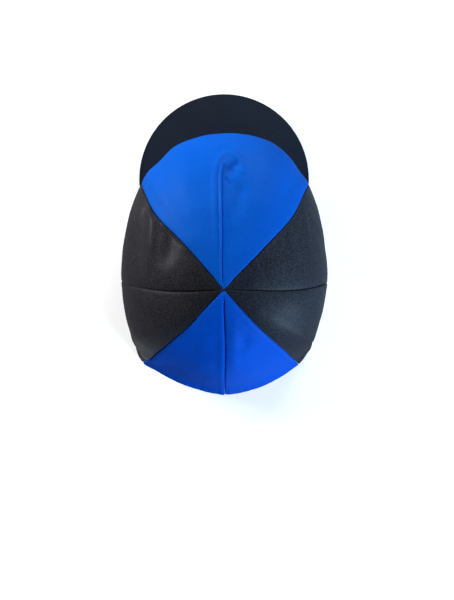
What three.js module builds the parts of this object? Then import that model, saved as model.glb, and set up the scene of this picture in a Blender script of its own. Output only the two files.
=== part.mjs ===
// Racing cap: a close-fitting quartered crown sewn from seven cloth gores that meet at one point on top, with a
// stitched dart down the middle of the wide front gore, and a stiff fabric-covered crescent peak under the front rim.
// Millimetres, +Z up. The rim rests on Z = 0, the peak points along -Y, and the wearer's left is +X.

import * as THREE from 'three';

// ---- driving dimensions -------------------------------------------------------------------------------------------
const CROWN_HEIGHT = 138;      // rim plane to the point where the seams meet
const CROWN_TILT = 0.05;       // forward rise of the cloth at that point, as a slope
const SHOULDER_AT = 0.62;      // share of the way from the top to the rim that lies above the shoulder
const RIM_BLEND = 0.36;        // how far the cloth below the shoulder keeps its direction, as a share of its drop
const WALL = 2.0;              // stretch cloth with its bonded backing
const HEM_WALL = 3.6;          // the turned hem is twice as thick, less what the stitching presses out
const HEM_DEPTH = 11;          // height of the turned hem
const SEAM_GAP = 0.3;          // clear gap between neighbouring gores

const PEAK_THICK = 3.0;        // board with cloth on both faces
const PEAK_RADIUS = 91.2;      // outer edge of the peak, one arc
const PEAK_CENTRE_Y = -110.2;  // centre of that arc, from the top point
const PEAK_HALF_ANGLE = 41.3;  // where the horns of the peak end, from straight ahead
const PEAK_TUCK = 5.0;         // how far the peak runs in under the rim, from the outer face of the cloth
const PEAK_EDGE_TOP = 6.6;     // height of the outer edge at the tip
const PEAK_HORN_TOP = 4.9;     // height of the outer edge at the horns
const PEAK_EDGE_ROUND = 1.3;   // rolled edge
const PEAK_HORN_DROP = 0.25;   // the horns hang slightly lower than the rim they follow
const PEAK_BULGE = 1.6;        // rise of the middle of the peak above a straight line from root to edge

// One row for each direction around the top point, in degrees from straight ahead. Reaches are measured level from
// the axis through the top point; lean is how far the cloth moves out for each millimetre that it drops.
const SECTIONS = {
  columns: ['angle', 'shoulder_left', 'shoulder_right', 'shoulder_height', 'shoulder_lean',
    'rim_left', 'rim_right', 'rim_height', 'rim_lean'],
  rows: [
    [0, 149.6, 149.6, 54, 0.00, 137.5, 137.5, 16.0, -0.28],
    [10, 148.3, 149.6, 54, 0.00, 136.5, 137.5, 15.4, -0.26],
    [20, 144.6, 147.3, 53, 0.00, 135.5, 138.5, 12.6, -0.18],
    [28, 138.0, 141.6, 51, 0.03, 134.0, 137.5, 9.4, -0.06],
    [34, 135.8, 135.6, 49, 0.07, 135.5, 135.5, 6.6, 0.05],
    [39, 131.3, 132.9, 47, 0.10, 134.2, 135.8, 5.1, 0.10],
    [42, 128.2, 129.6, 47, 0.09, 130.0, 131.4, 4.9, 0.08],
    [48, 122.5, 123.5, 47, 0.05, 122.3, 123.4, 0.0, 0.03],
    [56, 115.5, 115.8, 47, 0.02, 112.5, 112.8, 0.0, -0.07],
    [70, 106.8, 107.6, 47, 0.00, 100.0, 100.6, 0.0, -0.16],
    [90, 102.2, 102.4, 47, 0.00, 94.2, 94.4, 0.0, -0.20],
    [105, 102.2, 101.7, 47, 0.00, 96.9, 96.2, 0.0, -0.12],
    [112, 103.6, 102.7, 46.5, 0.03, 100.6, 99.6, 0.0, -0.02],
    [118, 105.8, 104.8, 46, 0.07, 106.4, 105.2, 0.0, 0.10],
    [122, 107.4, 106.7, 45, 0.12, 112.0, 111.2, 0.0, 0.19],
    [126, 107.6, 106.6, 44, 0.19, 117.4, 116.6, 0.0, 0.29],
    [131, 107.0, 105.0, 43, 0.27, 121.8, 118.2, 0.0, 0.40],
    [136, 106.0, 103.4, 42, 0.33, 123.2, 119.8, 0.0, 0.49],
    [142, 102.7, 101.2, 42, 0.36, 120.7, 119.3, 0.0, 0.54],
    [150, 100.0, 99.8, 42, 0.38, 119.3, 118.9, 0.0, 0.57],
    [165, 99.3, 100.4, 42, 0.38, 118.9, 120.0, 0.0, 0.58],
    [180, 101.7, 101.7, 42, 0.38, 121.3, 121.3, 0.0, 0.58],
  ],
};
const TOP_FULLNESS = 0.56;   // how flat the top is: share of the reach before the cloth turns down
const SIDE_FULLNESS = 0.52;  // how upright the sides are above the shoulder

// The route of each seam: its direction at five places on the way from the top to the rim, in degrees from straight
// ahead, growing towards the wearer's left and on around the back.
const SEAM_STATIONS = [0.0, 0.15, 0.3, 0.45, 0.6, 1.0];
const SEAMS = {
  front_left: [40.5, 41.5, 43.5, 41.0, 39.2, 39.0],
  side_left: [93.5, 93.0, 90.5, 88.8, 88.0, 87.0],
  back_left: [133.0, 136.8, 136.0, 135.5, 135.7, 134.7],
  back: [179.0, 181.0, 181.0, 180.5, 180.5, 180.5],
  back_right: [220.8, 221.3, 222.3, 222.7, 222.5, 222.2],
  side_right: [270.5, 268.0, 268.8, 270.4, 271.0, 272.0],
  front_right: [316.0, 315.5, 315.6, 318.8, 319.6, 320.0],
};

// Folds, dents and stitched ridges: each runs from one place to another on the crown. Angles are as above, down is the
// share of the way from the top to the rim, half_width and height are millimetres, and a dent has a negative height.
const FOLDS = {
  columns: ['name', 'from_angle', 'from_down', 'to_angle', 'to_down', 'half_width', 'height'],
  rows: [
    ['dart_groove', 1.2, 0.03, 0.6, 0.31, 1.6, -1.0],
    ['dart_allowance', 4.2, 0.12, 4.0, 0.31, 4.2, 1.0],
    ['dart_end_dimple', -4.6, 0.335, -4.0, 0.36, 5.5, -1.9],
    ['dart_end_arch', 1.5, 0.40, -3.5, 0.40, 6.0, 1.2],
    ['left_front_pull', 42.5, 0.47, 56.0, 0.50, 4.0, 1.4],
    ['left_front_hollow', 48.0, 0.38, 66.0, 0.46, 6.5, -1.6],
    ['right_front_pull', 318.0, 0.50, 303.0, 0.52, 4.0, 1.2],
    ['right_front_hollow', 311.0, 0.42, 297.0, 0.47, 6.5, -1.4],
    ['back_seam_puff', 184.5, 0.12, 184.5, 0.26, 6.0, 1.0],
  ],
};

// Rows of the faceted cloth from the pinched opening at the top to the rim, and the width of the columns.
const ROWS_DOWN = [0.006, 0.028, 0.065, 0.10, 0.145, 0.195, 0.245, 0.29, 0.325, 0.36, 0.40, 0.445, 0.495, 0.55, 0.61,
  0.68, 0.755, 0.83, 0.893, 0.912, 1.0];
const SIDE_COLUMNS = 8;
const FRONT_SIDE_SHARES = [0, 0.058, 0.16, 0.29, 0.42, 0.56, 0.70, 0.85, 1];  // closer where the horn of the peak ends
const FRONT_COLUMNS_FROM_DART = [2.2, 4.5, 7.5, 12, 17, 22.5, 28, 33.5];  // degrees each way, finer beside the dart
const PEAK_COLUMNS = 30;
const PEAK_ROWS = 5;

// Where the top point stands, so that the whole cap is centred on the origin.
const LENGTH_BEHIND_TOP = 121.3;
const TOP_POINT = new THREE.Vector2(0.2, (LENGTH_BEHIND_TOP - (PEAK_RADIUS - PEAK_CENTRE_Y)) / -2);

// ---- the crown as a surface ---------------------------------------------------------------------------------------
const column = (table, name) => table.rows.map((row) => row[table.columns.indexOf(name)]);

// Values around the crown: the left side is the table read down, the right side is the table read back up.
function ring(leftName, rightName = leftName) {
  const angle = column(SECTIONS, 'angle');
  const left = column(SECTIONS, leftName);
  const right = column(SECTIONS, rightName);
  const back = (values) => values.slice(1, -1).reverse();
  return { angle: [...angle, ...back(angle).map((a) => 360 - a)], value: [...left, ...back(right)] };
}

// Smooth curve through unevenly spaced knots; it wraps around when a period is given.
function smooth(at, values, x, period = 0) {
  const n = at.length;
  const knot = (i) => (period ? at[((i % n) + n) % n] + period * Math.floor(i / n) : at[Math.min(Math.max(i, 0), n - 1)]);
  const value = (i) => (period ? values[((i % n) + n) % n] : values[Math.min(Math.max(i, 0), n - 1)]);
  let u = period ? ((x % period) + period) % period : Math.min(Math.max(x, at[0]), at[n - 1]);
  let i = 0;
  while (i < n - 1 && at[i + 1] <= u) i += 1;
  if (!period && i === n - 1) return values[n - 1];
  const slope = (j) => {
    const before = knot(j) - knot(j - 1);
    const after = knot(j + 1) - knot(j);
    if (before === 0) return (value(j + 1) - value(j)) / after;
    if (after === 0) return (value(j) - value(j - 1)) / before;
    const rise = (value(j) - value(j - 1)) / before;
    const next = (value(j + 1) - value(j)) / after;
    return (rise * after + next * before) / (before + after);
  };
  const h = knot(i + 1) - knot(i);
  const s = (u - knot(i)) / h;
  const s2 = s * s;
  const s3 = s2 * s;
  return value(i) * (2 * s3 - 3 * s2 + 1) + slope(i) * h * (s3 - 2 * s2 + s)
    + value(i + 1) * (3 * s2 - 2 * s3) + slope(i + 1) * h * (s3 - s2);
}

const RINGS = {
  shoulder: ring('shoulder_left', 'shoulder_right'),
  shoulderHeight: ring('shoulder_height'),
  shoulderLean: ring('shoulder_lean'),
  rim: ring('rim_left', 'rim_right'),
  rimHeight: ring('rim_height'),
  rimLean: ring('rim_lean'),
};
const around = (name, angle) => smooth(RINGS[name].angle, RINGS[name].value, angle, 360);
const rimHeight = (angle) => Math.max(0, around('rimHeight', angle));
const cubic = (a, b, c, d, s) => {
  const q = 1 - s;
  return q * q * q * a + 3 * q * q * s * b + 3 * q * s * s * c + s * s * s * d;
};

// A point on the smooth form: angle around the top point, and down, the share of the way from the top to the rim.
function form(angle, down) {
  const shoulder = around('shoulder', angle);
  const height = around('shoulderHeight', angle);
  const lean = around('shoulderLean', angle);
  const rad = THREE.MathUtils.degToRad(angle);
  let reach;
  let z;
  if (down <= SHOULDER_AT) {
    const s = down / SHOULDER_AT;
    const drop = SIDE_FULLNESS * (CROWN_HEIGHT - height);
    reach = cubic(0, TOP_FULLNESS * shoulder, shoulder - lean * drop, shoulder, s);
    z = cubic(CROWN_HEIGHT, CROWN_HEIGHT + CROWN_TILT * Math.cos(rad) * TOP_FULLNESS * shoulder, height + drop, height, s);
  } else {
    const s = (down - SHOULDER_AT) / (1 - SHOULDER_AT);
    const rim = around('rim', angle);
    const foot = rimHeight(angle);
    const drop = RIM_BLEND * (height - foot);
    reach = cubic(shoulder, shoulder + lean * drop, rim - around('rimLean', angle) * drop, rim, s);
    z = cubic(height, height - drop, foot + drop, foot, s);
  }
  return new THREE.Vector3(reach * Math.sin(rad), -reach * Math.cos(rad), z);
}

// Folds stand along the normal and fade to nothing away from their line.
const angleBetween = (a, b) => ((a - b + 540) % 360) - 180;
function foldHeight(angle, down) {
  const here = form(angle, down);
  const reach = Math.hypot(here.x, here.y);
  const perDown = form(angle, Math.min(down + 0.01, 1)).distanceTo(form(angle, Math.max(down - 0.01, 0))) / 0.02;
  let height = 0;
  for (const row of FOLDS.rows) {
    const [, a0, d0, a1, d1, halfWidth, rise] = row;
    const ax = THREE.MathUtils.degToRad(angleBetween(a0, angle)) * reach;
    const bx = THREE.MathUtils.degToRad(angleBetween(a1, angle)) * reach;
    const ay = (d0 - down) * perDown;
    const by = (d1 - down) * perDown;
    const length2 = (bx - ax) ** 2 + (by - ay) ** 2;
    const s = Math.min(Math.max(-(ax * (bx - ax) + ay * (by - ay)) / length2, 0), 1);
    const away = Math.hypot(ax + s * (bx - ax), ay + s * (by - ay)) / halfWidth;
    height += rise * Math.exp(-away * away);
  }
  return height;
}

function normal(surface, angle, down) {
  const step = 0.004;
  const turn = 0.35;
  const alongDown = surface(angle, Math.min(down + step, 1)).sub(surface(angle, Math.max(down - step, 0.004)));
  const alongAngle = surface(angle + turn, down).sub(surface(angle - turn, down));
  return alongDown.cross(alongAngle).normalize();
}

function cloth(angle, down) {
  const lift = foldHeight(angle, down);
  const point = form(angle, down);
  if (Math.abs(lift) < 1e-4) return point;
  const out = normal(form, angle, down);
  if (down > 0.98) out.setZ(0).normalize();
  return point.addScaledVector(out, lift);
}

// ---- meshes -------------------------------------------------------------------------------------------------------
// A closed body between two faces given as matching grids of points: outer[column][row] and inner[column][row].
function shell(outer, inner, material, name) {
  const columns = outer.length;
  const rows = outer[0].length;
  const points = [...outer.flat(), ...inner.flat()];
  const id = (face, c, r) => face * columns * rows + c * rows + r;
  const index = [];
  const quad = (a, b, c, d) => index.push(a, b, c, a, c, d);
  for (let c = 0; c < columns - 1; c += 1) {
    for (let r = 0; r < rows - 1; r += 1) {
      quad(id(0, c, r), id(0, c, r + 1), id(0, c + 1, r + 1), id(0, c + 1, r));
      quad(id(1, c, r), id(1, c + 1, r), id(1, c + 1, r + 1), id(1, c, r + 1));
    }
    quad(id(0, c, 0), id(0, c + 1, 0), id(1, c + 1, 0), id(1, c, 0));
    quad(id(0, c, rows - 1), id(1, c, rows - 1), id(1, c + 1, rows - 1), id(0, c + 1, rows - 1));
  }
  for (let r = 0; r < rows - 1; r += 1) {
    quad(id(0, 0, r), id(1, 0, r), id(1, 0, r + 1), id(0, 0, r + 1));
    const e = columns - 1;
    quad(id(0, e, r), id(0, e, r + 1), id(1, e, r + 1), id(1, e, r));
  }
  const geometry = new THREE.BufferGeometry();
  geometry.setAttribute('position', new THREE.Float32BufferAttribute(points.flatMap((p) => [p.x, p.y, p.z]), 3));
  geometry.setIndex(index);
  geometry.computeVertexNormals();
  const mesh = new THREE.Mesh(geometry, material);
  mesh.name = name;
  return mesh;
}

const seamAngle = (seam, down) => smooth(SEAM_STATIONS, SEAMS[seam], down);

// One gore: the cloth between two seams, going from the first to the second as the angle grows.
function gore(name, fromSeam, toSeam, material, shares) {
  const outer = [];
  const inner = [];
  for (const share of shares) {
    const outerColumn = [];
    const innerColumn = [];
    for (const down of ROWS_DOWN) {
      let from = seamAngle(fromSeam, down);
      let to = seamAngle(toSeam, down);
      if (to < from) from -= 360;
      const reach = Math.hypot(form(from, down).x, form(from, down).y);
      const gap = THREE.MathUtils.radToDeg(SEAM_GAP / 2 / reach);
      from += gap;
      to -= gap;
      const angle = share.seam ? share.seam(down, from, to) : from + (to - from) * share;
      const outside = cloth(angle, down);
      const inwards = normal(cloth, angle, down);
      const last = down === 1;
      if (last) inwards.setZ(0).normalize();
      const thick = down > 0.9 ? HEM_WALL : WALL;
      outerColumn.push(outside);
      innerColumn.push(outside.clone().addScaledVector(inwards, -thick));
    }
    outer.push(outerColumn);
    inner.push(innerColumn);
  }
  return shell(outer, inner, material, name);
}

const evenShares = (count) => Array.from({ length: count + 1 }, (_, i) => i / count);

// The front gore's columns stand close together beside the dart and spread towards its two seams.
const frontShares = [
  { seam: (down, from) => from },
  ...[...FRONT_COLUMNS_FROM_DART].reverse().map((d) => ({ seam: (down, from) => -d * (-from / 40) })),
  { seam: () => 0.6 },
  ...FRONT_COLUMNS_FROM_DART.map((d) => ({ seam: (down, from, to) => d * (to / 40) })),
  { seam: (down, from, to) => to },
];

const blueCloth = () => new THREE.MeshStandardMaterial({ color: 0x1257c8, roughness: 0.55, metalness: 0 });
const blackCloth = () => new THREE.MeshStandardMaterial({ color: 0x26282f, roughness: 0.5, metalness: 0 });
const peakCloth = () => new THREE.MeshStandardMaterial({ color: 0x1c2533, roughness: 0.8, metalness: 0 });

// ---- the peak -----------------------------------------------------------------------------------------------------
// It follows the front rim just below it, tucked in under the cloth, and its outer edge is one arc.
function outerEdge(angle) {
  const rad = THREE.MathUtils.degToRad(angle);
  const dx = Math.sin(rad);
  const dy = -Math.cos(rad);
  const along = dy * PEAK_CENTRE_Y;
  const reach = along + Math.sqrt(along * along - PEAK_CENTRE_Y * PEAK_CENTRE_Y + PEAK_RADIUS * PEAK_RADIUS);
  return new THREE.Vector2(reach * dx, reach * dy);
}

function peak() {
  const top = [];
  const under = [];
  for (let i = 0; i <= PEAK_COLUMNS; i += 1) {
    const angle = -PEAK_HALF_ANGLE + (2 * PEAK_HALF_ANGLE * i) / PEAK_COLUMNS;
    const rad = THREE.MathUtils.degToRad(angle);
    const turned = (angle + 360) % 360;
    const rootReach = around('rim', turned) - PEAK_TUCK;
    const root = new THREE.Vector2(rootReach * Math.sin(rad), -rootReach * Math.cos(rad));
    const edge = outerEdge(angle);
    const width = root.distanceTo(edge);
    const middle = Math.cos((rad * 90) / PEAK_HALF_ANGLE);
    const rootTop = rimHeight(turned) - SEAM_GAP - PEAK_HORN_DROP * (1 - middle);
    const edgeTop = PEAK_HORN_TOP + (PEAK_EDGE_TOP - PEAK_HORN_TOP) * middle - SEAM_GAP;
    const topColumn = [];
    const underColumn = [];
    const flat = PEAK_TUCK / width;
    const stations = [0, flat, ...evenShares(PEAK_ROWS).slice(1, -1).map((s) => flat + (1 - flat) * s),
      1 - PEAK_EDGE_ROUND / width, 1];
    for (const s of stations) {
      const place = root.clone().lerp(edge, s);
      const slope = Math.max(0, (s - flat) / (1 - flat));
      const z = rootTop + (edgeTop - rootTop) * slope + PEAK_BULGE * middle * 4 * slope * (1 - slope) * 0.5;
      const rolled = s === 1 ? 0.3 : 1;
      const mid = z - PEAK_THICK / 2;
      topColumn.push(new THREE.Vector3(place.x, place.y, mid + (PEAK_THICK / 2) * rolled));
      underColumn.push(new THREE.Vector3(place.x, place.y, mid - (PEAK_THICK / 2) * rolled));
    }
    top.push(topColumn);
    under.push(underColumn);
  }
  return shell(top, under, peakCloth(), 'peak');
}

// ---- assembly -----------------------------------------------------------------------------------------------------
const sideShares = evenShares(SIDE_COLUMNS);
const cap = new THREE.Group();
cap.name = 'racing_cap';
const aboutTop = new THREE.Group();
aboutTop.position.set(TOP_POINT.x, TOP_POINT.y, 0);
aboutTop.add(
  gore('front_panel', 'front_right', 'front_left', blueCloth(), frontShares),
  gore('side_front_panel_left', 'front_left', 'side_left', blackCloth(), FRONT_SIDE_SHARES),
  gore('side_back_panel_left', 'side_left', 'back_left', blackCloth(), sideShares),
  gore('back_panel_left', 'back_left', 'back', blueCloth(), sideShares),
  gore('back_panel_right', 'back', 'back_right', blueCloth(), sideShares),
  gore('side_back_panel_right', 'back_right', 'side_right', blackCloth(), sideShares),
  gore('side_front_panel_right', 'side_right', 'front_right', blackCloth(),
    [...FRONT_SIDE_SHARES].reverse().map((s) => 1 - s)),
  peak(),
);
cap.add(aboutTop);

export default cap;
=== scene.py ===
"""Racing cap: the finished cloth, seams, hem, stitching and peak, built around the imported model.

Everything is worked out in millimetres about the top point, where the seams meet, and placed in metres in the row's
frame. The crown is one smooth form that all the gores share; seams, the dart, folds, puckers and the turned hem are
relief on that form, so the gores meet exactly along their seams.
"""

import math

import bpy
import numpy as np
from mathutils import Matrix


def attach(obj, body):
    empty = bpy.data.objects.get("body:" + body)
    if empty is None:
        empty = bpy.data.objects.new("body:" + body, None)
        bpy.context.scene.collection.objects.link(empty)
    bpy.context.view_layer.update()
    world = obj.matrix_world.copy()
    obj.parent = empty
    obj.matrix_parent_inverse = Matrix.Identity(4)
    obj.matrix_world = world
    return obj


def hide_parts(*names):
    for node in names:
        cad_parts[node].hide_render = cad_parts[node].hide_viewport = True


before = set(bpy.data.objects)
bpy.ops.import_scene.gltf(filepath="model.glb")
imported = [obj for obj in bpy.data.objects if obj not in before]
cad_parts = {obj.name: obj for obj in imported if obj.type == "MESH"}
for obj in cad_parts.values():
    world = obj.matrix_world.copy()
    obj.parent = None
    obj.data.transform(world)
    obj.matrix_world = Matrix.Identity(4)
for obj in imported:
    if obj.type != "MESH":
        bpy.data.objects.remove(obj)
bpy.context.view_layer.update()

# ---- the crown's form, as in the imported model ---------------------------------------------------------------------
CROWN_HEIGHT = 138.0
CROWN_TILT = 0.05
SHOULDER_AT = 0.62
RIM_BLEND = 0.36
TOP_FULLNESS = 0.56
SIDE_FULLNESS = 0.52
WALL = 1.3
HEM_WALL = 2.6
TOP_POINT = (0.2, 40.05)

PEAK_THICK = 3.0
PEAK_RADIUS = 91.2
PEAK_CENTRE_Y = -110.2
PEAK_HALF_ANGLE = 41.3
PEAK_TUCK = 5.0
PEAK_EDGE_TOP = 6.6
PEAK_HORN_TOP = 4.9
PEAK_HORN_DROP = 0.25
PEAK_BULGE = 1.6
SEAM_GAP = 0.3

# angle, shoulder left, shoulder right, shoulder height, shoulder lean, rim left, rim right, rim height, rim lean
SECTIONS = np.array([
    [0, 149.6, 149.6, 54, 0.00, 137.5, 137.5, 16.0, -0.28],
    [10, 148.3, 149.6, 54, 0.00, 136.5, 137.5, 15.4, -0.26],
    [20, 144.6, 147.3, 53, 0.00, 135.5, 138.5, 12.6, -0.18],
    [28, 138.0, 141.6, 51, 0.03, 134.0, 137.5, 9.4, -0.06],
    [34, 135.8, 135.6, 49, 0.07, 135.5, 135.5, 6.6, 0.05],
    [39, 131.3, 132.9, 47, 0.10, 134.2, 135.8, 5.1, 0.10],
    [42, 128.2, 129.6, 47, 0.09, 130.0, 131.4, 4.9, 0.08],
    [48, 122.5, 123.5, 47, 0.05, 122.3, 123.4, 0.0, 0.03],
    [56, 115.5, 115.8, 47, 0.02, 112.5, 112.8, 0.0, -0.07],
    [70, 106.8, 107.6, 47, 0.00, 100.0, 100.6, 0.0, -0.16],
    [90, 102.2, 102.4, 47, 0.00, 94.2, 94.4, 0.0, -0.20],
    [105, 102.2, 101.7, 47, 0.00, 96.9, 96.2, 0.0, -0.12],
    [112, 103.6, 102.7, 46.5, 0.03, 100.6, 99.6, 0.0, -0.02],
    [118, 105.8, 104.8, 46, 0.07, 106.4, 105.2, 0.0, 0.10],
    [122, 107.4, 106.7, 45, 0.12, 112.0, 111.2, 0.0, 0.19],
    [126, 107.6, 106.6, 44, 0.19, 117.4, 116.6, 0.0, 0.29],
    [131, 107.0, 105.0, 43, 0.27, 121.8, 118.2, 0.0, 0.40],
    [136, 106.0, 103.4, 42, 0.33, 123.2, 119.8, 0.0, 0.49],
    [142, 102.7, 101.2, 42, 0.36, 120.7, 119.3, 0.0, 0.54],
    [150, 100.0, 99.8, 42, 0.38, 119.3, 118.9, 0.0, 0.57],
    [165, 99.3, 100.4, 42, 0.38, 118.9, 120.0, 0.0, 0.58],
    [180, 101.7, 101.7, 42, 0.38, 121.3, 121.3, 0.0, 0.58],
])
ANGLES = np.concatenate([SECTIONS[:, 0], 360 - SECTIONS[-2:0:-1, 0]])


def ring(left, right):
    return np.concatenate([SECTIONS[:, left], SECTIONS[-2:0:-1, right]])


RINGS = {
    "shoulder": ring(1, 2), "shoulder_height": ring(3, 3), "shoulder_lean": ring(4, 4),
    "rim": ring(5, 6), "rim_height": ring(7, 7), "rim_lean": ring(8, 8),
}

SEAM_STATIONS = [0.0, 0.15, 0.3, 0.45, 0.6, 1.0]
SEAMS = {
    "front_left": [40.5, 41.5, 43.5, 41.0, 39.2, 39.0],
    "side_left": [93.5, 93.0, 90.5, 88.8, 88.0, 87.0],
    "back_left": [133.0, 136.8, 136.0, 135.5, 135.7, 134.7],
    "back": [179.0, 181.0, 181.0, 180.5, 180.5, 180.5],
    "back_right": [220.8, 221.3, 222.3, 222.7, 222.5, 222.2],
    "side_right": [270.5, 268.0, 268.8, 270.4, 271.0, 272.0],
    "front_right": [316.0, 315.5, 315.6, 318.8, 319.6, 320.0],
}


def hermite(v0, v1, m0, m1, h, s):
    s2, s3 = s * s, s * s * s
    return v0 * (2 * s3 - 3 * s2 + 1) + m0 * h * (s3 - 2 * s2 + s) + v1 * (3 * s2 - 2 * s3) + m1 * h * (s3 - s2)


def smooth(at, values, x, period=0.0):
    """A smooth curve through unevenly spaced knots; it wraps around when a period is given."""
    at, values, x = (np.asarray(q, float) for q in (at, values, x))
    if period:
        x = np.mod(x, period)
        a = np.concatenate([at[-2:] - period, at, at[:3] + period])
        v = np.concatenate([values[-2:], values, values[:3]])
        i = np.clip(np.searchsorted(at, x, side="right") - 1, 0, len(at) - 1) + 2
        rise, h = np.diff(v) / np.diff(a), np.diff(a)
        slope = lambda j: (rise[j - 1] * h[j] + rise[j] * h[j - 1]) / (h[j - 1] + h[j])
        m0, m1 = slope(i), slope(i + 1)
    else:
        a, v = at, values
        x = np.clip(x, a[0], a[-1])
        i = np.clip(np.searchsorted(a, x, side="right") - 1, 0, len(a) - 2)
        rise, h = np.diff(v) / np.diff(a), np.diff(a)
        s = np.empty(len(a))
        s[0], s[-1] = rise[0], rise[-1]
        s[1:-1] = (rise[:-1] * h[1:] + rise[1:] * h[:-1]) / (h[:-1] + h[1:])
        m0, m1 = s[i], s[i + 1]
    step = a[i + 1] - a[i]
    return hermite(v[i], v[i + 1], m0, m1, step, (x - a[i]) / step)


def around(name, angle):
    return smooth(ANGLES, RINGS[name], angle, 360.0)


def rim_height(angle):
    return np.maximum(0, around("rim_height", angle))


def seam_angle(seam, down):
    return smooth(SEAM_STATIONS, SEAMS[seam], down)


def cubic(a, b, c, d, s):
    q = 1 - s
    return q**3 * a + 3 * q * q * s * b + 3 * q * s * s * c + s**3 * d


def form(angle, down):
    """Points on the smooth form, in millimetres about the top point: an array with a last axis of 3."""
    angle, down = np.broadcast_arrays(np.asarray(angle, float), np.asarray(down, float))
    shoulder, height = around("shoulder", angle), around("shoulder_height", angle)
    lean, rad = around("shoulder_lean", angle), np.radians(angle)
    s = np.clip(down / SHOULDER_AT, 0, 1)
    drop = SIDE_FULLNESS * (CROWN_HEIGHT - height)
    reach_top = cubic(0, TOP_FULLNESS * shoulder, shoulder - lean * drop, shoulder, s)
    z_top = cubic(CROWN_HEIGHT, CROWN_HEIGHT + CROWN_TILT * np.cos(rad) * TOP_FULLNESS * shoulder, height + drop, height, s)
    s = np.clip((down - SHOULDER_AT) / (1 - SHOULDER_AT), 0, 1)
    rim, foot = around("rim", angle), rim_height(angle)
    drop = RIM_BLEND * (height - foot)
    reach_low = cubic(shoulder, shoulder + lean * drop, rim - around("rim_lean", angle) * drop, rim, s)
    z_low = cubic(height, height - drop, foot + drop, foot, s)
    upper = down <= SHOULDER_AT
    reach, z = np.where(upper, reach_top, reach_low), np.where(upper, z_top, z_low)
    return np.stack([reach * np.sin(rad), -reach * np.cos(rad), z], -1)


def unit(v):
    return v / np.maximum(np.linalg.norm(v, axis=-1, keepdims=True), 1e-12)


def form_normal(angle, down):
    step, turn = 0.003, 0.25
    along = form(angle, np.minimum(down + step, 1)) - form(angle, np.maximum(down - step, 0.003))
    across = form(angle + turn, down) - form(angle - turn, down)
    return unit(np.cross(along, across))


# ---- noise that is the same every run -----------------------------------------------------------------------------
def wobble(p, wavelength, seed):
    """Soft noise from -1 to 1 at points p, in millimetres: a sum of fixed sine waves in turned directions."""
    rng = np.random.default_rng(seed)
    total = np.zeros(p.shape[:-1])
    for _ in range(9):
        d = unit(rng.normal(size=3))
        k = 2 * math.pi / (wavelength * rng.uniform(0.75, 1.35))
        total += np.sin(p @ d * k + rng.uniform(0, 2 * math.pi))
    return total / 3.2


# ---- relief: what the sewing and the pull of the cloth do to the smooth form ----------------------------------------
# Each fold runs along a route of (angle, down) places. height and half_width are millimetres; a dent has a negative
# height. The last two numbers are how much of each end dies away, as a share of the route.
FOLDS = [
    # name, route, half width, height, fade at start, fade at end
    ("left_streak", [(44.0, .470), (51.0, .441), (58.0, .425), (65.0, .414)], 1.7, .7, .2, .5),
    ("left_blob", [(40.5, .402), (45.0, .390), (50.8, .380)], 2.8, -1.3, .25, .45),
    ("left_crest", [(39.5, .375), (42.5, .345), (46.5, .320), (52.5, .300), (60.5, .288), (69.0, .284), (80.0, .286)], 5.6, 2.9, .12, .40),
    ("left_valley", [(37.5, .270), (41.5, .240), (46.5, .217), (55.0, .207), (65.0, .213), (76.0, .230)], 8.5, -3.4, .10, .45),
    ("left_rise", [(43.5, .160), (53.0, .152), (65.5, .158), (78.5, .170), (87.0, .185)], 6.0, -.4, .2, .3),
    ("right_pull", [(316.8, .388), (308.5, .375), (299.2, .364), (286.0, .352)], 3.0, .50, .15, .5),
    ("right_crease", [(313.8, .350), (308.0, .340), (302.0, .315), (296.0, .30)], 2.6, -.45, .2, .5),
    ("right_swell", [(314.5, .285), (307.5, .272), (299.0, .266), (288.0, .262)], 4.6, .50, .2, .3),
    ("right_small_hollow", [(312.5, .252), (307.8, .244), (302.5, .228), (296.0, .215)], 2.6, -.35, .2, .5),
    ("right_top_hollow", [(312.0, .142), (302.0, .139), (292.0, .142), (281.0, .146)], 4.0, -.55, .15, .4),
    ("back_puff", [(198.0, .080), (192.5, .152), (189.5, .221), (188.0, .340), (187.5, .46)], 5.0, .8, .3, .4),
    ("back_hollow", [(203.0, .19), (200.5, .235), (199.0, .29)], 5.0, -.7, .4, .5),
    ("back_left_hollow", [(171.0, .10), (172.0, .20), (173.5, .36), (175.0, .55)], 6.0, -.6, .3, .4),
    ("back_left_corner", [(108.0, .690), (120.0, .680), (131.0, .670), (146.0, .690)], 15.0, 1.9, .35, .35),
    ("dart_arch", [(3.8, .290), (3.2, .323), (2.0, .352), (359.8, .375), (357.0, .380), (354.2, .367), (351.8, .346), (349.8, .316)], 3.6, 1.3, .3, .35),
    ("dart_dimple", [(359.4, .297), (357.0, .313), (354.6, .330), (351.8, .344)], 5.2, -2.6, .5, .22),
    ("dart_dimple_tail", [(0.0, .286), (358.8, .278), (357.0, .268), (353.8, .254)], 1.5, -.75, .1, .5),
    ("dart_slope", [(353.0, .290), (350.8, .246), (350.5, .203), (350.2, .150)], 7.0, -1.8, .35, .4),
]

# Where each seam's allowance is pressed: side 1 is towards the growing angle. Sizes are millimetres.
SEAM_WORK = {
    # seam: side, rise of the allowance, its width, pucker height, pucker length
    "front_left": (-1, .16, 6.0, .06, 8.3),
    "side_left": (1, .22, 5.0, .10, 7.1),
    "back_left": (1, .20, 5.5, .08, 7.7),
    "back": (-1, .40, 5.5, .10, 8.9),
    "back_right": (-1, .20, 5.5, .08, 7.3),
    "side_right": (-1, .22, 5.0, .26, 3.4),
    "front_right": (1, .16, 6.0, .06, 8.1),
}
SEAM_GROOVE = 1.05
SEAM_ROLL = 0.75
SEAM_SLOPE = 0.62

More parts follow.
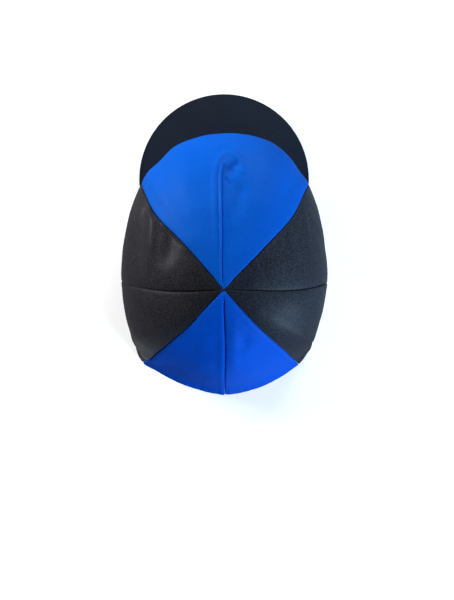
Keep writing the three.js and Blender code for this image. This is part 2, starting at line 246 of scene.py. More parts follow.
# The dart: a stitched line from the top down the front gore, its allowance pressed to the wearer's left. Steps beside it
# are given at distances from the stitching towards the wearer's left, one for each share of the way along.
DART_LINE = [(9.0, .012), (4.5, .040), (2.2, .088), (1.3, .135), (1.0, .186), (0.8, .242), (0.7, .281), (0.3, .307), (359.5, .328), (358.2, .341)]
DART_SHIFT = 0.9
DART_SHARES = [0.0, 0.24, 0.40, 0.56, 0.72, 0.88, 1.0]
DART_RIDGE = [0.8, 0.9, 1.5, 1.5, 1.8, 2.1, 2.4]
DART_VALLEY = [2.0, 2.5, 3.3, 3.9, 4.2, 4.2, 4.6]
DART_BAND = [5.0, 5.4, 6.5, 8.0, 9.4, 8.6, 8.6]


def route_points(route):
    """A smooth line of points half a millimetre apart through (angle, down) places on the form."""
    route = np.array(route, float)
    a = np.unwrap(np.radians(route[:, 0]))
    x, y = np.degrees(a), route[:, 1]
    u = np.arange(len(route))
    fine = np.linspace(0, len(route) - 1, 60 * (len(route) - 1) + 1)
    p = form(smooth(u, x, fine), smooth(u, y, fine))
    length = np.concatenate([[0], np.cumsum(np.linalg.norm(np.diff(p, axis=0), axis=1))])
    even = np.linspace(0, length[-1], max(4, int(length[-1] / 0.5)))
    return np.stack([np.interp(even, length, p[:, k]) for k in range(3)], -1), even


def beside(points, normals, route, within):
    """For each point: signed distance from the route (positive towards the growing angle where the route runs down), its
    share along it, and plain distance. Points further away than within get nothing."""
    line, length = route_points(route)
    tangent = unit(np.gradient(line, axis=0))
    lo, hi = line.min(0) - within, line.max(0) + within
    flat, nrm = points.reshape(-1, 3), normals.reshape(-1, 3)
    near = np.where(((flat > lo) & (flat < hi)).all(1))[0]
    offset, share, gap = np.full(len(flat), 1e6), np.zeros(len(flat)), np.full(len(flat), 1e6)
    for start in range(0, len(near), 4000):
        ids = near[start:start + 4000]
        d = flat[ids][:, None] - line[None]
        k = (d * d).sum(-1).argmin(1)
        v = flat[ids] - line[k]
        t = tangent[k]
        along = (v * t).sum(-1)
        sideways = np.cross(nrm[ids], t)
        across = (v * sideways).sum(-1)
        beyond = np.where(k == 0, np.minimum(along, 0), np.where(k == len(line) - 1, np.maximum(along, 0), 0))
        gap[ids] = np.hypot(across, beyond)
        offset[ids] = across
        share[ids] = np.clip((length[k] + along) / length[-1], 0, 1)
    shape = points.shape[:-1]
    return offset.reshape(shape), share.reshape(shape), gap.reshape(shape)


def ease(x):
    x = np.clip(x, 0, 1)
    return x * x * (3 - 2 * x)


def faded(share, start, end):
    a = ease(share / start) if start > 0 else 1.0
    b = ease((1 - share) / end) if end > 0 else 1.0
    return a * b


def bump(gap, half_width):
    return np.exp(-(np.minimum(gap / half_width, 6) ** 2))


def fold_relief(p, n, angle, down):
    total = np.zeros(p.shape[:-1])
    # folds in a side gore end at the front seam, which the stitching holds straight
    reach = np.hypot(p[..., 0], p[..., 1])
    past_left = ease(np.radians((angle - seam_angle("front_left", down) + 180) % 360 - 180) * reach / 3.5)
    past_right = ease(-np.radians((angle - seam_angle("front_right", down) + 180) % 360 - 180) * reach / 6.0)
    for name, route, half_width, height, start, end in FOLDS:
        _, share, gap = beside(p, n, route, 3.2 * half_width)
        held = past_left if name.startswith("left_") else past_right if name.startswith("right_") else 1.0
        total += height * faded(share, start, end) * bump(gap, half_width) * held
    return total


def rise(x):
    """A soft step from 0 to 1."""
    return 0.5 + 0.5 * np.tanh(1.2 * x)


def dart_relief(p, n):
    d, share, gap = beside(p, n, DART_LINE, 46)
    near = gap < 1e5
    d = np.where(near, d, 0) - DART_SHIFT
    at = lambda row: np.interp(share, DART_SHARES, row)
    whole = faded(share, .03, .07)
    wide = ease((share - .16) / .3) * faded(share, .01, .12)
    h = 2.2 * rise((at(DART_BAND) - d) / 3.0) * wide
    h -= 2.2 * rise((at(DART_VALLEY) - d) / 1.7) * wide
    h += 1.35 * rise((at(DART_RIDGE) - d) / 0.85) * whole
    h -= 1.75 * rise((0.15 - d) / 0.60) * whole
    h -= 1.15 * rise((-2.8 - d) / 2.6) * wide
    h -= 0.55 * bump(np.abs(d + 0.25), 0.5) * whole
    # the far side comes back to the smooth form slowly
    rest = (2.2 - 2.2 - 1.15) * wide + (1.35 - 1.75) * whole
    h -= rest * ease((-d - 4) / 28)
    h *= 1 - ease((np.abs(d) - 34) / 11)
    beyond = np.sqrt(np.maximum(gap * gap - d * d, 0))
    h *= 1 - ease(beyond / 7)
    return np.where(near, h, 0)


def seam_relief(seam, angle, down, reach, along):
    """The line where two gores roll into their seam, the allowance pressed to one side, and small puckers."""
    side, lift, width, pucker, length = SEAM_WORK[seam]
    turn = (angle - seam_angle(seam, down) + 180) % 360 - 180
    d = np.radians(turn) * reach
    off = d * side
    top = ease((reach - 1) / 13)
    line = -SEAM_GROOVE * np.exp(-((d / 0.50) ** 2)) * (.35 + .65 * top)
    line -= (SEAM_ROLL * np.exp(-np.abs(d) / 1.5) + SEAM_SLOPE * np.exp(-((d / 6.5) ** 2))) * top * (1 - .8 * ease((down - .42) / .2)) * (1 - ease((down - .92) / .05))
    allowance = lift * rise((off - .8) / .7) * (1 - ease((off - width + 2.2) / 4.4)) * top
    wave = np.sin(2 * math.pi * along / length + 1.7 * np.sin(along / 17.0) + (0 if side > 0 else 1.3))
    strength = 0.6 + 0.4 * np.sin(along / 23.0 + len(seam))
    puckers = pucker * wave * strength * np.exp(-((np.abs(d) - 1.6) / 2.4) ** 2) * top
    return line + allowance + puckers


def cloth(angle, down, seams, with_dart=False):
    """The finished outer face of a gore."""
    p = form(angle, down)
    n = form_normal(angle, down)
    reach = np.hypot(p[..., 0], p[..., 1])
    steps = np.linalg.norm(np.diff(p, axis=1), axis=-1)
    along = np.concatenate([np.zeros((p.shape[0], 1)), np.cumsum(steps, axis=1)], 1)
    to_rim = along[:, -1:] - along
    relief = fold_relief(p, n, angle, down)
    for seam in seams:
        relief += seam_relief(seam, angle, down, reach, along)
    if with_dart:
        relief += dart_relief(p, n)
    soft = ease((reach - 6) / 30)
    relief += soft * (0.28 * wobble(p, 46, 3) + 0.10 * wobble(p, 21, 5))
    # the turned hem: a second layer below the stitching, a little drawn in by its elastic
    hem = 1 - ease((to_rim - 10.6) / 1.5)
    relief += 0.42 * hem
    relief -= 0.30 * np.exp(-((to_rim - 9.6) / 0.55) ** 2)
    round_rim = np.radians(angle) * 105.0
    relief += 0.16 * np.sin(2 * math.pi * round_rim / 8.3 + 1.4 * np.sin(round_rim / 31)) * np.exp(-((to_rim - 7) / 7.0) ** 2)
    # all the seams are drawn together into a pinch at the top
    relief -= 1.2 * np.exp(-((reach / 3.0) ** 2)) - 0.3 * np.exp(-(((reach - 9) / 5) ** 2))
    level = n.copy()
    level[..., 2] = 0
    lower = ease((down - 0.965) / 0.035)[..., None]
    direction = unit(n * (1 - lower) + unit(level) * lower)
    return p + direction * relief[..., None], to_rim, along


# ---- meshes -------------------------------------------------------------------------------------------------------
def placed(points):
    return (points + np.array([TOP_POINT[0], TOP_POINT[1], 0.0])) / 1000.0


def new_mesh(name, verts, faces, material, uv=None, smooth_faces=True, flat_faces=()):
    """faces is a list of equal-length index arrays: quads (n, 4) and triangles (n, 3)."""
    me = bpy.data.meshes.new(name)
    loops = np.concatenate([f.reshape(-1) for f in faces]).astype(np.int32)
    sizes = np.concatenate([np.full(len(f), f.shape[1]) for f in faces]).astype(np.int32)
    starts = np.concatenate([[0], np.cumsum(sizes)[:-1]]).astype(np.int32)
    me.vertices.add(len(verts))
    me.vertices.foreach_set("co", np.asarray(verts, np.float32).ravel())
    me.loops.add(len(loops))
    me.loops.foreach_set("vertex_index", loops)
    me.polygons.add(len(sizes))
    me.polygons.foreach_set("loop_start", starts)
    me.polygons.foreach_set("loop_total", sizes)
    me.update(calc_edges=True)
    me.validate()
    me.polygons.foreach_set("use_smooth", np.full(len(me.polygons), smooth_faces))
    if uv is not None:
        layer = me.uv_layers.new(name="cloth")
        index = np.zeros(len(me.loops), np.int32)
        me.loops.foreach_get("vertex_index", index)
        layer.uv.foreach_set("vector", np.asarray(uv, np.float32)[index].ravel())
    me.materials.append(material)
    o = bpy.data.objects.new(name, me)
    bpy.context.scene.collection.objects.link(o)
    return o


def spread(count, spots, start=0.0, end=1.0):
    """Stations from start to end that stand closer together around the given spots: (place, how much closer, over what width)."""
    fine = np.linspace(start, end, 4001)
    density = 1 + sum(k * np.exp(-(((fine - at) / w) ** 2)) for at, k, w in spots)
    total = np.concatenate([[0], np.cumsum((density[1:] + density[:-1]) / 2)])
    return np.interp(np.linspace(0, total[-1], count), total, fine)


def make_gore(name, from_seam, to_seam, material, node, shares, rows, with_dart=False):
    down = rows[None, :]
    lo, hi = seam_angle(from_seam, down), seam_angle(to_seam, down)
    lo = np.where(lo > hi, lo - 360, lo)
    reach = np.maximum(np.hypot(*np.moveaxis(form(lo, down)[..., :2], -1, 0)), 0.4)
    gap = np.degrees(0.06 / reach)
    angle = lo + gap + (hi - lo - 2 * gap) * shares[:, None]
    down = np.broadcast_to(down, angle.shape)
    outer, to_rim, along = cloth(angle, down, (from_seam, to_seam), with_dart)
    # the inner face follows the outer one without its finest relief
    across = np.gradient(outer, axis=0)
    length = np.gradient(outer, axis=1)
    normal = unit(np.cross(length, across))
    level = normal.copy()
    level[..., 2] = 0
    lower = ease((down - 0.93) / 0.07)[..., None]
    inward = -unit(normal * (1 - lower) + unit(level) * lower)
    thick = WALL + (HEM_WALL - WALL) * (1 - ease((to_rim - 10.4) / 1.2))
    inner = outer + inward * thick[..., None]
    # the hem's fold is round: the last rows swing under from the outer face to the inner one
    r = HEM_WALL / 2
    foot = outer[:, -1:, 2:3].copy()
    outer[..., 2] = np.maximum(outer[..., 2], foot[..., 0] + r)
    inner[..., 2] = np.maximum(inner[..., 2], foot[..., 0] + r)
    mid = (outer[:, -1] + inner[:, -1]) / 2
    mid[:, 2] = foot[:, 0, 0] + r
    half = (outer[:, -1] - inner[:, -1]) / 2
    half[:, 2] = 0
    swing = np.radians(np.array([22, 45, 68, 90, 112, 135, 158]))
    fold = mid[:, None] + half[:, None] * np.cos(swing)[None, :, None]
    fold[..., 2] -= r * np.sin(swing)[None, :]
    loops = np.concatenate([outer, fold, inner[:, ::-1]], 1)
    # cloth coordinates in metres: across and along the gore
    width = np.radians(angle - (lo + hi) / 2) * np.maximum(np.hypot(outer[..., 0], outer[..., 1]), 1.0)
    uv_outer = np.stack([width, along], -1) / 1000.0
    uv_fold = np.repeat(uv_outer[:, -1:], len(swing), 1) + np.array([0, .001])
    uv_inner = uv_outer[:, ::-1] + np.array([0.4, 0])
    uv = np.concatenate([uv_outer, uv_fold, uv_inner], 1)
    c, k = loops.shape[:2]
    idx = np.arange(c * k).reshape(c, k)
    a, b = idx[:-1], idx[1:]
    faces = [np.stack([a, np.roll(a, -1, 1), np.roll(b, -1, 1), b], -1).reshape(-1, 4)]
    n = outer.shape[1]
    full = np.arange(k)
    # end caps: strips between matching outer and inner points, and a fan in the fold
    strip = []
    fan = []
    for col, flip in ((0, False), (c - 1, True)):
        o = idx[col, :n]
        i = idx[col, k - n:][::-1]
        q = np.stack([o[:-1], i[:-1], i[1:], o[1:]], -1)
        f = idx[col, n:k - n]
        chain = np.concatenate([[o[-1]], f, [i[-1]]])
        t = np.stack([np.full(len(chain) - 2, chain[0]), chain[2:], chain[1:-1]], -1)
        if flip:
            q, t = q[:, ::-1], t[:, ::-1]
        strip.append(q)
        fan.append(t)
    faces += [np.concatenate(strip), np.concatenate(fan)]
    o = new_mesh(name, placed(loops.reshape(-1, 3)), faces, material, uv.reshape(-1, 2))
    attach(o, "root")
    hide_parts(node)
    return o


def make_tape(name, seam, material, width=11.0, thick=0.5):
    """The strip that covers a seam inside the crown, from near the top to the hem's lower edge."""
    rows = spread(130, [(0, 2.0, .04), (1, 3.0, .05)], start=.006, end=.9985)[None, :]
    centre = seam_angle(seam, rows)
    side = np.linspace(-1, 1, 15)[:, None]
    d = side * width / 2
    reach = np.maximum(np.hypot(*np.moveaxis(form(centre, rows)[..., :2], -1, 0)), 0.4)
    angle = centre + np.degrees(np.clip(d / reach, -.55, .55))
    down = np.broadcast_to(rows, angle.shape)
    p, n = form(angle, down), form_normal(angle, down)
    level = n.copy()
    level[..., 2] = 0
    lower = ease((down - 0.93) / 0.07)[..., None]
    inward = -unit(n * (1 - lower) + unit(level) * lower)
    run = np.concatenate([np.zeros((p.shape[0], 1)), np.cumsum(np.linalg.norm(np.diff(p, axis=1), axis=-1), axis=1)], 1)
    to_rim = run[:, -1:] - run
    wall = WALL + (HEM_WALL - WALL) * (1 - ease((to_rim - 9.4) / 2.4))
    deep = wall + .25 + 2.3 * np.exp(-(d / 1.7) ** 2) + .5 * np.exp(-(d / 6.0) ** 2) + 1.2 * np.exp(-(reach / 4) ** 2)
    soft = ease((reach - 6) / 30)
    deep = deep - fold_relief(p, n, angle, down) - soft * (0.28 * wobble(p, 46, 3) + 0.10 * wobble(p, 21, 5))
    upper = p + inward * deep[..., None]
    under = p + inward * (deep + thick)[..., None]
    grid = np.stack([upper, under])
    c, k = d.shape[0], rows.shape[1]
    idx = np.arange(2 * c * k).reshape(2, c, k)
    t, u = idx
    quad = lambda a, b, e, f: np.stack([a, b, e, f], -1).reshape(-1, 4)
    faces = [np.concatenate([
        quad(t[:-1, :-1], t[:-1, 1:], t[1:, 1:], t[1:, :-1]), quad(u[:-1, :-1], u[1:, :-1], u[1:, 1:], u[:-1, 1:]),
        quad(t[0, :-1], u[0, :-1], u[0, 1:], t[0, 1:]), quad(t[-1, :-1], t[-1, 1:], u[-1, 1:], u[-1, :-1]),
        quad(t[:-1, 0], t[1:, 0], u[1:, 0], u[:-1, 0]), quad(t[:-1, -1], u[:-1, -1], u[1:, -1], t[1:, -1]),
    ])]
    uv = np.stack([np.broadcast_to(d, down.shape), run], -1) / 1000.0
    o = new_mesh(name, placed(grid.reshape(-1, 3)), faces, material, np.stack([uv, uv]).reshape(-1, 2))
    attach(o, "root")
    return o


def make_patch(name, material, radius=8.5, thick=0.5):
    """The small round of cloth over the crossing of the seams, inside at the top."""
    turns, rings_n = 48, 9
    angle = np.linspace(0, 360, turns, endpoint=False)[:, None]
    far = np.linspace(0, 1, rings_n)[1:][None, :]
    shoulder = around("shoulder", angle)
    down = SHOULDER_AT * far * radius / (3 * TOP_FULLNESS * shoulder)
    p = form(angle, down)
    p[..., 2] -= WALL + 3.9 - 1.1 * far ** 2
    mid = np.array([[0, 0, CROWN_HEIGHT - WALL - 3.9]])
    ring_ids = 1 + np.arange(turns * (rings_n - 1)).reshape(turns, rings_n - 1)
    verts = np.concatenate([mid, p.reshape(-1, 3), mid - [[0, 0, thick]], p.reshape(-1, 3) - [[0, 0, thick]]])
    half = 1 + turns * (rings_n - 1)
    nxt = np.roll(ring_ids, -1, 0)
    quads = np.stack([ring_ids[:, :-1], ring_ids[:, 1:], nxt[:, 1:], nxt[:, :-1]], -1).reshape(-1, 4)
    rim = np.stack([ring_ids[:, -1], ring_ids[:, -1] + half, nxt[:, -1] + half, nxt[:, -1]], -1)
    fan = np.stack([np.zeros(turns, int), ring_ids[:, 0], nxt[:, 0]], -1)
    faces = [np.concatenate([quads, quads[:, ::-1] + half, rim]), np.concatenate([fan, fan[:, ::-1] + half])]
    o = new_mesh(name, placed(verts), faces, material, verts[:, :2] / 1000.0)
    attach(o, "root")
    return o


# ---- materials ----------------------------------------------------------------------------------------------------
def nodes_of(name):
    m = bpy.data.materials.new(name)
    m.use_nodes = True
    nt = m.node_tree
    for n in list(nt.nodes):
        nt.nodes.remove(n)
    out = nt.nodes.new("ShaderNodeOutputMaterial")
    bsdf = nt.nodes.new("ShaderNodeBsdfPrincipled")
    nt.links.new(bsdf.outputs[0], out.inputs[0])
    return m, nt, bsdf


def node(nt, kind, inputs=None, **props):
    n = nt.nodes.new(kind)
    for k, v in props.items():
        setattr(n, k, v)
    for k, v in (inputs or {}).items():
        s = n.inputs[k]
        if isinstance(v, bpy.types.NodeSocket):
            nt.links.new(v, s)
        else:
            s.default_value = v
    return n


def maths(nt, op, a, b=None, c=None, clamp=False):
    n = nt.nodes.new("ShaderNodeMath")
    n.operation, n.use_clamp = op, clamp
    for s, v in zip(n.inputs, (a, b, c)):
        if v is None:
            continue
        if isinstance(v, bpy.types.NodeSocket):
            nt.links.new(v, s)
        else:
            s.default_value = v
    return n.outputs[0]


def mixed(nt, factor, a, b):
    n = nt.nodes.new("ShaderNodeMix")
    n.data_type = "RGBA"
    for key, v in ((0, factor), (6, a), (7, b)):
        s = n.inputs[key]
        if isinstance(v, bpy.types.NodeSocket):
            nt.links.new(v, s)
        else:
            s.default_value = (*v, 1) if isinstance(v, tuple) and len(v) == 3 else v
    return n.outputs[2]


def stretch_cloth(name, base, deep, light, roughness, specular, tint, sheen, sheen_tint, painted_glint_amount, painted_top_shade=1.0):
    """Smooth warp-knit stretch cloth: fine ribs of loops, a soft mottle where it is pulled, and painted glints: tiny
    bright specks mixed into the colour, standing in for highlights on the threads. It can also be given painted shade
    towards the top.
    """
    m, nt, bsdf = nodes_of(name)
    uv = node(nt, "ShaderNodeUVMap", uv_map="cloth").outputs[0]
    place = node(nt, "ShaderNodeTexCoord").outputs["Object"]
    mottle = node(nt, "ShaderNodeTexNoise", {"Vector": place, "Scale": 34.0, "Detail": 5.0, "Roughness": .62}).outputs[0]
    grain = node(nt, "ShaderNodeTexNoise", {"Vector": place, "Scale": 900.0, "Detail": 2.5, "Roughness": .75}).outputs[0]
    fine = node(nt, "ShaderNodeTexNoise", {"Vector": place, "Scale": 1700.0, "Detail": 1.0, "Roughness": .5}).outputs[0]
    ribs = node(nt, "ShaderNodeTexWave", {"Vector": uv, "Scale": 320.0, "Distortion": .6, "Detail": 1.0, "Detail Scale": 1.2},
                wave_type="BANDS", bands_direction="X", wave_profile="SIN").outputs[1]
    loops = node(nt, "ShaderNodeTexWave", {"Vector": uv, "Scale": 410.0, "Distortion": 1.1, "Detail": 1.0, "Detail Scale": 1.5},
                 wave_type="BANDS", bands_direction="DIAGONAL", wave_profile="SIN").outputs[1]
    knit = maths(nt, "ADD", maths(nt, "MULTIPLY", ribs, .6), maths(nt, "MULTIPLY", loops, .4))
    shade = maths(nt, "MULTIPLY_ADD", mottle, 1.5, -.25, clamp=True)
    colour = mixed(nt, shade, deep, base)
    # painted glints: bright specks of the light colour mixed into the colour, standing in for highlights on the threads
    lit = maths(nt, "MULTIPLY", maths(nt, "MULTIPLY_ADD", grain, 4.4, -1.75, clamp=True), painted_glint_amount, clamp=True)
    colour = mixed(nt, lit, colour, light)
    threads = maths(nt, "MULTIPLY", knit, .09)
    colour = mixed(nt, threads, colour, light)
    if painted_top_shade < 1:
        # painted shade: the colour is darkened towards the top of the crown, standing in for the shade that falls there
        down = node(nt, "ShaderNodeSeparateXYZ", {"Vector": uv}).outputs[1]
        top_shade_ramp = node(nt, "ShaderNodeMapRange", {"Value": down, "From Min": .004, "From Max": .062, "To Min": painted_top_shade, "To Max": 1.0},
                     interpolation_type="SMOOTHSTEP").outputs[0]
        top_shade_grey = node(nt, "ShaderNodeCombineColor", {"Red": top_shade_ramp, "Green": top_shade_ramp, "Blue": top_shade_ramp}).outputs[0]
        n = nt.nodes.new("ShaderNodeMix")
        n.data_type, n.blend_type = "RGBA", "MULTIPLY"
        n.inputs[0].default_value = 1.0
        nt.links.new(colour, n.inputs[6])
        nt.links.new(top_shade_grey, n.inputs[7])
        colour = n.outputs[2]
    nt.links.new(colour, bsdf.inputs["Base Color"])
    rough = maths(nt, "ADD", roughness - .06, maths(nt, "MULTIPLY", mottle, .10))
    rough = maths(nt, "ADD", rough, maths(nt, "MULTIPLY", fine, .08))
    nt.links.new(rough, bsdf.inputs["Roughness"])
    bsdf.inputs["Specular IOR Level"].default_value = specular
    bsdf.inputs["Specular Tint"].default_value = (*tint, 1)
    bsdf.inputs["Sheen Weight"].default_value = sheen
    bsdf.inputs["Sheen Roughness"].default_value = .42
    bsdf.inputs["Sheen Tint"].default_value = (*sheen_tint, 1)
    height = maths(nt, "ADD", maths(nt, "MULTIPLY", knit, .35), maths(nt, "MULTIPLY", grain, .65))
    b = node(nt, "ShaderNodeBump", {"Height": height, "Strength": .35, "Distance": .0004})
    nt.links.new(b.outputs[0], bsdf.inputs["Normal"])
    return m


def peak_cloth(name):
    """Close matte weave glued over board."""
    m, nt, bsdf = nodes_of(name)
    uv = node(nt, "ShaderNodeUVMap", uv_map="cloth").outputs[0]
    place = node(nt, "ShaderNodeTexCoord").outputs["Object"]
    mottle = node(nt, "ShaderNodeTexNoise", {"Vector": place, "Scale": 26.0, "Detail": 4.0, "Roughness": .55}).outputs[0]
    lint = node(nt, "ShaderNodeTexNoise", {"Vector": place, "Scale": 900.0, "Detail": 2.0, "Roughness": .6}).outputs[0]
    warp = node(nt, "ShaderNodeTexWave", {"Vector": uv, "Scale": 420.0, "Distortion": .5, "Detail": 1.0},
                wave_type="BANDS", bands_direction="X", wave_profile="SIN").outputs[1]
    weft = node(nt, "ShaderNodeTexWave", {"Vector": uv, "Scale": 420.0, "Distortion": .5, "Detail": 1.0},
                wave_type="BANDS", bands_direction="Y", wave_profile="SIN").outputs[1]
    weave = maths(nt, "MAXIMUM", warp, weft)
    shade = maths(nt, "MULTIPLY_ADD", mottle, 1.4, -.2, clamp=True)
    colour = mixed(nt, shade, (.0036, .0068, .0134), (.0054, .0098, .0185))
    colour = mixed(nt, maths(nt, "MULTIPLY", weave, .18), colour, (.011, .018, .030))
    colour = mixed(nt, maths(nt, "MULTIPLY_ADD", lint, 1.2, -.62, clamp=True), colour, (.028, .036, .052))
    nt.links.new(colour, bsdf.inputs["Base Color"])
    rough = maths(nt, "MULTIPLY_ADD", lint, .12, .76)
    nt.links.new(rough, bsdf.inputs["Roughness"])
    bsdf.inputs["Specular IOR Level"].default_value = .07
    bsdf.inputs["Sheen Weight"].default_value = .03
    bsdf.inputs["Sheen Roughness"].default_value = .6
    height = maths(nt, "ADD", maths(nt, "MULTIPLY", weave, .5), maths(nt, "MULTIPLY", lint, .5))
    b = node(nt, "ShaderNodeBump", {"Height": height, "Strength": .4, "Distance": .0004})
    nt.links.new(b.outputs[0], bsdf.inputs["Normal"])
    return m


# each light colour is the colour of the painted glints, also used for the knit's lighter threads
BLUE = stretch_cloth("blue_stretch_cloth", base=(.0014, .079, .445), deep=(.0009, .066, .40), light=(.004, .130, .62),
                     roughness=.50, specular=.08, tint=(.2, .5, 1.0), sheen=0, sheen_tint=(.2, .5, 1.0), painted_glint_amount=.30)
# painted light and shade: a deeper, less green copy of the blue for the back gores, standing in for the shade they sit
# in and the bluish window light on them
BLUE_BACK = stretch_cloth("blue_stretch_cloth_back", base=(.0008, .071, .50), deep=(.0005, .060, .44), light=(.004, .122, .68),
                          roughness=.50, specular=.075, tint=(.2, .5, 1.0), sheen=0, sheen_tint=(.2, .5, 1.0), painted_glint_amount=.32)
# painted shade: a darker copy of the back blue for the back gore on the wearer's left, which faces away from the lamps
BLUE_BACK_LEFT_SHADED = stretch_cloth("blue_stretch_cloth_back_left", base=(.0006, .066, .48), deep=(.0004, .055, .42), light=(.004, .122, .68),
                          roughness=.50, specular=.03, tint=(.2, .5, 1.0), sheen=0, sheen_tint=(.2, .5, 1.0), painted_glint_amount=.32)
BLACK = stretch_cloth("black_stretch_cloth", base=(.0041, .0039, .0050), deep=(.0028, .0026, .0033), light=(.044, .042, .053),
                      roughness=.46, specular=.085, tint=(1, 1, 1), sheen=.075, sheen_tint=(.96, .96, 1.0), painted_glint_amount=.62, painted_top_shade=.62)
# painted light: a bluer copy of the black cloth for the gores on the wearer's right, standing in for the bluish window
# light that falls on them
BLACK_BLUE_LIT = stretch_cloth("black_stretch_cloth_painted_blue_light", base=(.0040, .0048, .0070), deep=(.0028, .0034, .0050), light=(.044, .052, .074),
                            roughness=.46, specular=.095, tint=(.8, .9, 1), sheen=.085, sheen_tint=(.78, .90, 1.0), painted_glint_amount=.66, painted_top_shade=.62)
PEAK = peak_cloth("peak_cloth")

# ---- the crown ----------------------------------------------------------------------------------------------------
ROWS = spread(190, [(0, 2.0, .03), (1, 2.2, .05)], start=.0009)
SIDE = spread(88, [(0, 7, .03), (1, 7, .03)])
FRONT = spread(205, [(0, 4, .03), (1, 4, .03), (.515, 5.5, .05), (.50, 1.2, .14)])
GORES = [
    ("front_cloth", "front_right", "front_left", BLUE, "front_panel"),
    ("side_front_cloth_left", "front_left", "side_left", BLACK, "side_front_panel_left"),
    ("side_back_cloth_left", "side_left", "back_left", BLACK, "side_back_panel_left"),
    ("back_cloth_left", "back_left", "back", BLUE_BACK_LEFT_SHADED, "back_panel_left"),
    ("back_cloth_right", "back", "back_right", BLUE_BACK, "back_panel_right"),
    ("side_back_cloth_right", "back_right", "side_right", BLACK_BLUE_LIT, "side_back_panel_right"),
    ("side_front_cloth_right", "side_right", "front_right", BLACK_BLUE_LIT, "side_front_panel_right"),
]
for name, a, b, material, cad in GORES:
    shares = FRONT if cad == "front_panel" else SIDE
    piece = make_gore(name, a, b, material, cad, shares, ROWS, with_dart=cad == "front_panel")


for seam in SEAMS:
    make_tape("seam_tape_" + seam, seam, BLACK)
make_patch("top_patch", BLACK)


# ---- the peak -----------------------------------------------------------------------------------------------------
def outer_edge(angle):
    rad = np.radians(angle)
    dx, dy = np.sin(rad), -np.cos(rad)
    along = dy * PEAK_CENTRE_Y
    reach = along + np.sqrt(along * along - PEAK_CENTRE_Y**2 + PEAK_RADIUS**2)
    return np.stack([reach * dx, reach * dy], -1)


def make_peak():
    angle = PEAK_HALF_ANGLE * np.sin(np.linspace(-math.pi / 2, math.pi / 2, 150)) * 0.55 + np.linspace(-1, 1, 150) * PEAK_HALF_ANGLE * 0.45
    rad = np.radians(angle)
    root_reach = around("rim", angle) - PEAK_TUCK
    root = np.stack([root_reach * np.sin(rad), -root_reach * np.cos(rad)], -1)
    edge = outer_edge(angle)
    width = np.linalg.norm(edge - root, axis=-1)
    middle = np.cos(rad * 90 / PEAK_HALF_ANGLE)
    root_top = rim_height(angle) - SEAM_GAP - PEAK_HORN_DROP * (1 - middle)
    edge_top = PEAK_HORN_TOP + (PEAK_EDGE_TOP - PEAK_HORN_TOP) * middle - SEAM_GAP
    r = PEAK_THICK / 2
    flat = PEAK_TUCK / width
    n = 46
    i = np.linspace(0, 1, n)
    last = 1 - r / width
    s = i[None] * last[:, None]
    s = s ** 1.0
    place = root[:, None] + (edge - root)[:, None] * s[..., None]
    slope = np.clip((s - flat[:, None]) / (1 - flat[:, None]), 0, 1)
    z = root_top[:, None] + (edge_top - root_top)[:, None] * slope + PEAK_BULGE * middle[:, None] * 2 * slope * (1 - slope)
    # its root is sewn up into the hem
    z = z + 1.0 * (1 - ease((s * width[:, None] - .8 * PEAK_TUCK) / (1.2 * PEAK_TUCK)))
    top = np.concatenate([place, z[..., None]], -1)
    from_edge = (1 - s) * width[:, None]
    # the cloth is turned over the board's edge: a faint flat step just inside it
    top[..., 2] += 0.16 * np.exp(-((from_edge - 2.6) / 1.1) ** 2) - 0.10 * np.exp(-((from_edge - 5.2) / 1.0) ** 2)
    p = top + 0
    top[..., 2] += 0.16 * wobble(p, 60, 21) + 0.05 * wobble(p, 18, 22)
    under = top + 0
    under[..., 2] = z - PEAK_THICK + 0.1 * wobble(p, 45, 23)
    # round edge
    out = unit((edge - root))
    centre = np.concatenate([place[:, -1], (z[:, -1] - r)[:, None]], -1)
    swing = np.radians(np.linspace(75, -75, 9))
    roll = centre[:, None] + np.concatenate([out[:, None] * (r * np.cos(swing))[None, :, None],
                                             np.broadcast_to((r * np.sin(swing))[None, :, None], (len(angle), len(swing), 1))], -1)
    loops = np.concatenate([top, roll, under[:, ::-1]], 1)
    length = np.concatenate([s * width[:, None], np.broadcast_to((width[:, None]), (len(angle), len(swing))), (s * width[:, None])[:, ::-1] + 120], 1)
    uv = np.stack([np.broadcast_to((rad * 110)[:, None], length.shape), length], -1) / 1000.0
    c, k = loops.shape[:2]
    idx = np.arange(c * k).reshape(c, k)
    a, b = idx[:-1], idx[1:]
    faces = [np.stack([a, np.roll(a, -1, 1), np.roll(b, -1, 1), b], -1).reshape(-1, 4)[:, ::-1]]
    strip, fan = [], []
    for col, flip in ((0, True), (c - 1, False)):
        o = idx[col, :n]
        i2 = idx[col, k - n:][::-1]
        q = np.stack([o[:-1], i2[:-1], i2[1:], o[1:]], -1)
        f = idx[col, n:k - n]
        chain = np.concatenate([[o[-1]], f, [i2[-1]]])
        t = np.stack([np.full(len(chain) - 2, chain[0]), chain[2:], chain[1:-1]], -1)
        if flip:
            q, t = q[:, ::-1], t[:, ::-1]
        strip.append(q)
        fan.append(t)
    faces += [np.concatenate(strip), np.concatenate(fan)]
    o = new_mesh("peak_cloth_cover", placed(loops.reshape(-1, 3)), faces, PEAK, uv.reshape(-1, 2))
    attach(o, "root")
    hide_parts("peak")
    return o


make_peak()

# ---- floor, light and camera --------------------------------------------------------------------------------------
floor_mat, nt, bsdf = nodes_of("pale_floor")
place = node(nt, "ShaderNodeTexCoord").outputs["Object"]
fleck = node(nt, "ShaderNodeTexNoise", {"Vector": place, "Scale": 3.0, "Detail": 2.0}).outputs[0]
nt.links.new(mixed(nt, fleck, (.90, .905, .91), (.92, .922, .925)), bsdf.inputs["Base Color"])
bsdf.inputs["Roughness"].default_value = .9
bsdf.inputs["Specular IOR Level"].default_value = .1
bsdf.inputs["Emission Color"].default_value = (1, 1, 1, 1)
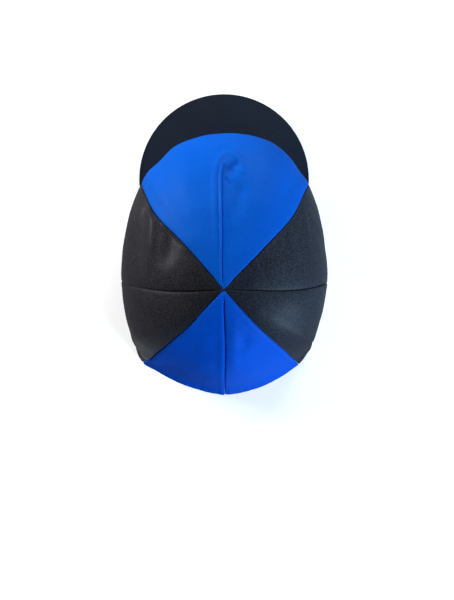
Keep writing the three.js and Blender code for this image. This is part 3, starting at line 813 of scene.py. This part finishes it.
# a lit table: brighter away from the object, so that it runs into the backdrop without a line
away = node(nt, "ShaderNodeVectorMath", {0: place}, operation="LENGTH").outputs["Value"]
glow = node(nt, "ShaderNodeMapRange", {"Value": away, "From Min": .45, "From Max": 1.5, "To Min": .39, "To Max": .94},
            interpolation_type="SMOOTHSTEP").outputs[0]
nt.links.new(glow, bsdf.inputs["Emission Strength"])
bpy.ops.mesh.primitive_plane_add(size=14.0, location=(0, 0, 0))
floor = bpy.context.object
floor.name = "floor"
floor.data.materials.append(floor_mat)
floor.visible_diffuse = floor.visible_glossy = False

backdrop_mat, nt, bsdf = nodes_of("pale_backdrop")
place = node(nt, "ShaderNodeTexCoord").outputs["Object"]
fleck = node(nt, "ShaderNodeTexNoise", {"Vector": place, "Scale": .6, "Detail": 1.0}).outputs[0]
nt.links.new(mixed(nt, fleck, (.93, .935, .94), (.95, .952, .955)), bsdf.inputs["Emission Color"])
bsdf.inputs["Emission Strength"].default_value = 1.0
bsdf.inputs["Base Color"].default_value = (0, 0, 0, 1)
bsdf.inputs["Specular IOR Level"].default_value = 0
bpy.ops.mesh.primitive_uv_sphere_add(segments=64, ring_count=32, radius=6.4, location=(0, 0, 0))
backdrop = bpy.context.object
backdrop.name = "backdrop"
backdrop.data.materials.append(backdrop_mat)
backdrop.visible_diffuse = backdrop.visible_glossy = backdrop.visible_shadow = False

world = bpy.data.worlds.new("studio")
bpy.context.scene.world = world
world.use_nodes = True
back = world.node_tree.nodes["Background"]
back.inputs[0].default_value = (.92, .95, 1.0, 1)
back.inputs[1].default_value = .16


def softbox(name, place, target, size, power, colour):
    light = bpy.data.lights.new(name, "AREA")
    light.shape, light.size, light.energy, light.color = "DISK", size, power, colour
    o = bpy.data.objects.new(name, light)
    bpy.context.scene.collection.objects.link(o)
    o.location = place
    d = np.array(target) - np.array(place)
    from mathutils import Vector
    o.rotation_euler = Vector(d).to_track_quat("-Z", "Y").to_euler()
    return o


softbox("window_right_rear", (-1.198, 0.936, 0.47), (0, 0, .06), .70, 38.5, (.58, .78, 1.0))
softbox("window_left_front", (1.316, -0.76, 0.52), (0, 0, .06), .70, 35.0, (1.0, .98, .97))
softbox("window_right_front", (-0.569, -1.409, 0.52), (0, 0, .06), .80, 23.0, (.80, .90, 1.0))

camera = bpy.data.cameras.new("camera")
camera.lens, camera.sensor_width = 37.2, 36.0
camera.shift_x, camera.shift_y = .0042, -.0833
camera.clip_start, camera.clip_end = .01, 30
cam = bpy.data.objects.new("camera", camera)
bpy.context.scene.collection.objects.link(cam)
cam.location = (-.00023, .00573, .670)
cam.rotation_euler = (0, 0, math.pi)
bpy.context.scene.camera = cam

scene = bpy.context.scene
scene.view_settings.view_transform = "Standard"
scene.view_settings.look = "None"
scene.view_settings.exposure = 0
scene.view_settings.gamma = 1
